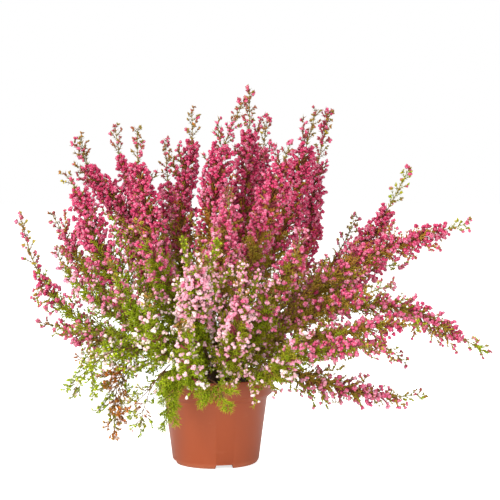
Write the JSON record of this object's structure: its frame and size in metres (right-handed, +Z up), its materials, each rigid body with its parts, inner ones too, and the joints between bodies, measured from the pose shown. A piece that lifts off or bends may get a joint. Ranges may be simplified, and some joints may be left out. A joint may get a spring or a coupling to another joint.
{
  "type": "potted heath",
  "caption": "Potted flowering heath: a bushy fan of needle-leaved stems with plumes of pink bell flowers, standing in soil in a tapered plastic nursery pot.",
  "frame": {"origin": "on the pot's axis, at the middle of the round pad under its floor, on the surface that it stands on", "axes": "+Z up, -Y towards the plant's front, +X along the widest spread of its shoots; -Z is the way the pot's foot faces"},
  "size_m": [0.4836, 0.3111, 0.3881],
  "materials": {
    "pot_plastic": "satin",
    "soil": "matte",
    "foliage": "matte",
    "bells_magenta": "matte",
    "bells_pink": "matte",
    "bells_pale": "matte"
  },
  "bodies": {
    "root": {"pot": "pot_plastic", "soil": "soil", "stem_left": "foliage", "plume_left_1": "bells_magenta", "plume_left_2": "bells_pale", "plume_left_3": "bells_magenta", "stem_left_back": "foliage", "plume_left_back_1": "bells_magenta", "plume_left_back_2": "bells_magenta", "plume_left_back_3": "bells_pink", "stem_left_front": "foliage", "plume_left_front_1": "bells_pink", "plume_left_front_2": "bells_pale", "plume_left_front_3": "bells_pale", "stem_front": "foliage", "plume_front_1": "bells_pale", "plume_front_2": "bells_pale", "stem_right_front": "foliage", "plume_right_front_1": "bells_pale", "plume_right_front_2": "bells_pale", "plume_right_front_3": "bells_pale", "plume_right_front_4": "bells_pink", "stem_right_low": "foliage", "plume_right_low_1": "bells_magenta", "plume_right_low_2": "bells_pink", "plume_right_low_3": "bells_pink", "plume_right_low_4": "bells_pink", "stem_right": "foliage", "plume_right_1": "bells_magenta", "plume_right_2": "bells_pink", "plume_right_3": "bells_magenta", "plume_right_4": "bells_pink", "stem_right_back": "foliage", "plume_right_back_1": "bells_magenta", "plume_right_back_2": "bells_magenta", "plume_right_back_3": "bells_pink", "stem_inner_left": "foliage", "plume_inner_left_1": "bells_magenta", "plume_inner_left_2": "bells_magenta", "stem_inner_right": "foliage", "plume_inner_right_1": "bells_magenta", "plume_inner_right_2": "bells_magenta", "plume_inner_right_3": "bells_pink", "plume_inner_right_4": "bells_pink", "stem_middle": "foliage", "plume_middle_1": "bells_magenta", "plume_middle_2": "bells_magenta", "plume_middle_3": "bells_magenta", "stem_back_left": "foliage", "plume_back_left_1": "bells_magenta", "plume_back_left_2": "bells_pink", "plume_back_left_3": "bells_pale", "plume_back_left_4": "bells_magenta", "stem_back_right": "foliage", "plume_back_right_1": "bells_pink", "plume_back_right_2": "bells_pale", "plume_back_right_3": "bells_pink"}
  },
  "joints": []
}
